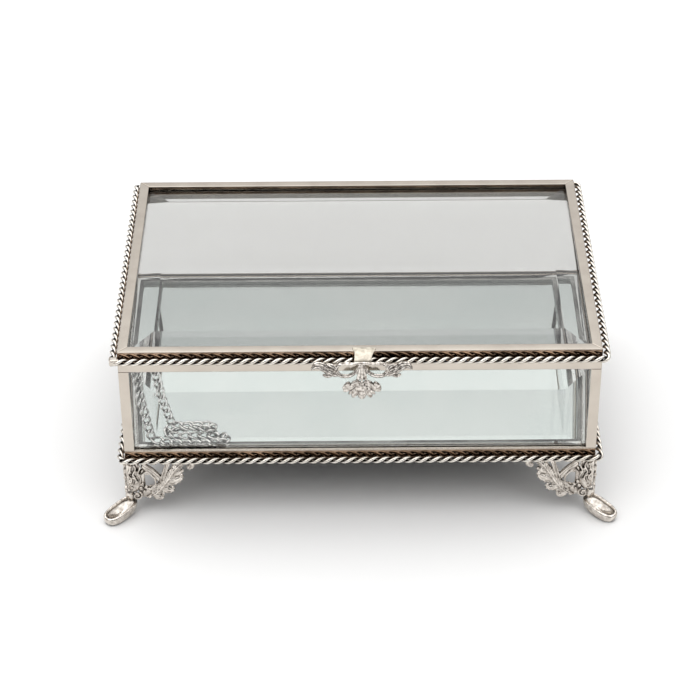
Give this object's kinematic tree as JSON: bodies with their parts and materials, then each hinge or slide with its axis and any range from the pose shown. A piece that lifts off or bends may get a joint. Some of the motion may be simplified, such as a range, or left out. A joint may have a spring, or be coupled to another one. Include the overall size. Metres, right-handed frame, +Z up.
{
  "type": "trinket box",
  "caption": "Footed glass trinket box: bevelled panes in metal channel, twisted rope trim, hinged lid with cast clasp and stay chain, mirror floor and cast corner feet.",
  "frame": {"origin": "on the supporting surface under the middle of the box", "axes": "+X to the right along the box's longest side, +Y from the clasp to the hinge, +Z up"},
  "size_m": [0.226, 0.161, 0.087],
  "materials": {
    "channel": "polished warm nickel plate",
    "rope": "bright nickel plated wire",
    "casting": "bright nickel plated casting",
    "nickel": "bright nickel plate",
    "chain": "bright nickel plated chain",
    "clear_glass": "clear, bevelled edges",
    "mirror": "silvered glass, bevelled edges",
    "backing": "black backing board"
  },
  "bodies": {
    "box": {"glass_front": "clear_glass", "glass_back": "clear_glass", "glass_left": "clear_glass", "glass_right": "clear_glass", "post_front_left": "channel", "post_front_right": "channel", "post_back_left": "channel", "post_back_right": "channel", "rim_front": "channel", "rim_back": "channel", "rim_left": "channel", "rim_right": "channel", "base_rail_front": "channel", "base_rail_back": "channel", "base_rail_left": "channel", "base_rail_right": "channel", "mirror_channel": "channel", "base_mirror": "mirror", "base_backing": "backing", "base_rope": "rope", "hinge_tubes_body": "nickel", "hinge_pins": "nickel", "body_chain_eye": "chain", "foot_front_left": "casting", "foot_front_right": "casting", "foot_back_left": "casting", "foot_back_right": "casting"},
    "lid": {"lid_glass": "clear_glass", "lid_rail_front": "channel", "lid_rail_back": "channel", "lid_rail_left": "channel", "lid_rail_right": "channel", "lid_rope": "rope", "lid_tab": "nickel", "lid_clasp": "casting", "lid_chain_eye": "chain", "hinge_tubes_lid": "nickel"},
    "chain_01": {"chain_01": "chain"},
    "chain_02": {"chain_02": "chain"},
    "chain_03": {"chain_03": "chain"},
    "chain_04": {"chain_04": "chain"},
    "chain_05": {"chain_05": "chain"},
    "chain_06": {"chain_06": "chain"},
    "chain_07": {"chain_07": "chain"},
    "chain_08": {"chain_08": "chain"},
    "chain_09": {"chain_09": "chain"},
    "chain_10": {"chain_10": "chain"},
    "chain_11": {"chain_11": "chain"},
    "chain_12": {"chain_12": "chain"},
    "chain_13": {"chain_13": "chain"},
    "chain_14": {"chain_14": "chain"},
    "chain_15": {"chain_15": "chain"},
    "chain_16": {"chain_16": "chain"},
    "chain_17": {"chain_17": "chain"},
    "chain_18": {"chain_18": "chain"},
    "chain_19": {"chain_19": "chain"},
    "chain_20": {"chain_20": "chain"},
    "chain_21": {"chain_21": "chain"},
    "chain_22": {"chain_22": "chain"}
  },
  "joints": [
    {"name": "lid_hinge", "type": "hinge", "parent": "box", "child": "lid", "pos_m": [0, 0.0722, 0.0792], "axis": [-1, 0, 0], "range_deg": [0, 93.3], "deforming": ["chain_01", "chain_02", "chain_03", "chain_04", "chain_05", "chain_06", "chain_07", "chain_08", "chain_09", "chain_10", "chain_11", "chain_12", "chain_13", "chain_14", "chain_15", "chain_16", "chain_17", "chain_18", "chain_19", "chain_20", "chain_21", "chain_22"]},
    {"name": "chain_swing_01", "type": "hinge", "parent": "box", "child": "chain_01", "pos_m": [-0.096, -0.0605, 0.076], "axis": [0.9832, -0.1493, 0.1045], "range_deg": [0, 134.54]},
    {"name": "chain_swing_02", "type": "hinge", "parent": "box", "child": "chain_02", "pos_m": [-0.09412, -0.04957, 0.07131], "axis": [-0.2153, -0.8986, 0.3824], "range_deg": [0, 177.48]},
    {"name": "chain_swing_03", "type": "hinge", "parent": "box", "child": "chain_03", "pos_m": [-0.11141, -0.03063, 0.06193], "axis": [-0.6316, -0.723, 0.2799], "range_deg": [0, 112.19]},
    {"name": "chain_swing_04", "type": "hinge", "parent": "box", "child": "chain_04", "pos_m": [-0.12082, -0.03191, 0.06114], "axis": [-0.4125, -0.8321, 0.3708], "range_deg": [0, 99.22]},
    {"name": "chain_swing_05", "type": "hinge", "parent": "box", "child": "chain_05", "pos_m": [-0.12529, -0.03255, 0.06042], "axis": [-0.3114, -0.8574, 0.4097], "range_deg": [0, 93.66]},
    {"name": "chain_swing_06", "type": "hinge", "parent": "box", "child": "chain_06", "pos_m": [-0.12686, -0.03229, 0.05976], "axis": [-0.2736, -0.8629, 0.4249], "range_deg": [0, 91.68]},
    {"name": "chain_swing_07", "type": "hinge", "parent": "box", "child": "chain_07", "pos_m": [-0.14202, -0.07226, 0.07857], "axis": [0.3857, -0.7234, 0.5727], "range_deg": [0, 73.74]},
    {"name": "chain_swing_08", "type": "hinge", "parent": "box", "child": "chain_08", "pos_m": [-0.03884, -0.09842, 0.13278], "axis": [0.8622, 0.5059, 0.0244], "range_deg": [0, 64.82]},
    {"name": "chain_swing_09", "type": "hinge", "parent": "box", "child": "chain_09", "pos_m": [-0.01542, -0.02348, 0.09934], "axis": [0.0355, 0.8783, -0.4769], "range_deg": [0, 85.37]},
    {"name": "chain_swing_10", "type": "hinge", "parent": "box", "child": "chain_10", "pos_m": [-0.02367, -0.012, 0.09046], "axis": [-0.1759, 0.837, -0.5182], "range_deg": [0, 92.41]},
    {"name": "chain_swing_11", "type": "hinge", "parent": "box", "child": "chain_11", "pos_m": [-0.03039, -0.00754, 0.0865], "axis": [-0.2664, 0.8105, -0.5217], "range_deg": [0, 97.75]},
    {"name": "chain_swing_12", "type": "hinge", "parent": "box", "child": "chain_12", "pos_m": [-0.01829, -0.01339, 0.09148], "axis": [-0.0948, 0.847, -0.5231], "range_deg": [0, 88.05]},
    {"name": "chain_swing_13", "type": "hinge", "parent": "lid", "child": "chain_13", "pos_m": [-0.08675, -0.02407, 0.02701], "axis": [0.664, -0.0915, -0.7421], "range_deg": [0, 172.58]},
    {"name": "chain_swing_14", "type": "hinge", "parent": "lid", "child": "chain_14", "pos_m": [-0.08194, -0.02404, 0.02458], "axis": [-0.3642, -0.2559, -0.8955], "range_deg": [0, 153]},
    {"name": "chain_swing_15", "type": "hinge", "parent": "lid", "child": "chain_15", "pos_m": [-0.06819, -0.02226, 0.02049], "axis": [-0.4004, -0.2593, -0.8789], "range_deg": [0, 103.36]},
    {"name": "chain_swing_16", "type": "hinge", "parent": "lid", "child": "chain_16", "pos_m": [-0.06573, -0.02103, 0.02263], "axis": [-0.4111, -0.263, -0.8728], "range_deg": [0, 99.29]},
    {"name": "chain_swing_17", "type": "hinge", "parent": "lid", "child": "chain_17", "pos_m": [-0.04656, -0.00691, -0.02068], "axis": [-0.6723, -0.4487, -0.5888], "range_deg": [0, 37.14]},
    {"name": "chain_swing_18", "type": "hinge", "parent": "lid", "child": "chain_18", "pos_m": [-0.09966, -0.04843, 0.02004], "axis": [-0.4142, -0.3601, 0.8359], "range_deg": [0, 74.47]},
    {"name": "chain_swing_19", "type": "hinge", "parent": "lid", "child": "chain_19", "pos_m": [-0.08382, -0.03963, 0.03616], "axis": [-0.5604, -0.4426, 0.7], "range_deg": [0, 154.23]},
    {"name": "chain_swing_20", "type": "hinge", "parent": "lid", "child": "chain_20", "pos_m": [-0.08386, -0.04143, 0.04394], "axis": [0.7239, 0.4787, -0.4968], "range_deg": [0, 171.28]},
    {"name": "chain_swing_21", "type": "hinge", "parent": "lid", "child": "chain_21", "pos_m": [-0.0847, -0.0466, 0.05384], "axis": [0.1901, 0.4841, -0.8541], "range_deg": [0, 150.13]},
    {"name": "chain_swing_22", "type": "hinge", "parent": "lid", "child": "chain_22", "pos_m": [-0.08916, -0.06046, 0.07877], "axis": [0.9765, 0.1692, 0.1335], "range_deg": [0, 40.55]}
  ],
  "couplings": [
    {"joint": "chain_swing_01", "follows": "lid_hinge", "ratio": 1.4419},
    {"joint": "chain_swing_02", "follows": "lid_hinge", "ratio": 1.9021},
    {"joint": "chain_swing_03", "follows": "lid_hinge", "ratio": 1.2024},
    {"joint": "chain_swing_04", "follows": "lid_hinge", "ratio": 1.0633},
    {"joint": "chain_swing_05", "follows": "lid_hinge", "ratio": 1.0038},
    {"joint": "chain_swing_06", "follows": "lid_hinge", "ratio": 0.98255},
    {"joint": "chain_swing_07", "follows": "lid_hinge", "ratio": 0.7902},
    {"joint": "chain_swing_08", "follows": "lid_hinge", "ratio": 0.69465},
    {"joint": "chain_swing_09", "follows": "lid_hinge", "ratio": 0.9149},
    {"joint": "chain_swing_10", "follows": "lid_hinge", "ratio": 0.99036},
    {"joint": "chain_swing_11", "follows": "lid_hinge", "ratio": 1.0476},
    {"joint": "chain_swing_12", "follows": "lid_hinge", "ratio": 0.94359},
    {"joint": "chain_swing_13", "follows": "lid_hinge", "ratio": 1.8496},
    {"joint": "chain_swing_14", "follows": "lid_hinge", "ratio": 1.6397},
    {"joint": "chain_swing_15", "follows": "lid_hinge", "ratio": 1.1078},
    {"joint": "chain_swing_16", "follows": "lid_hinge", "ratio": 1.0641},
    {"joint": "chain_swing_17", "follows": "lid_hinge", "ratio": 0.39801},
    {"joint": "chain_swing_18", "follows": "lid_hinge", "ratio": 0.79805},
    {"joint": "chain_swing_19", "follows": "lid_hinge", "ratio": 1.653},
    {"joint": "chain_swing_20", "follows": "lid_hinge", "ratio": 1.8357},
    {"joint": "chain_swing_21", "follows": "lid_hinge", "ratio": 1.609},
    {"joint": "chain_swing_22", "follows": "lid_hinge", "ratio": 0.43451}
  ]
}
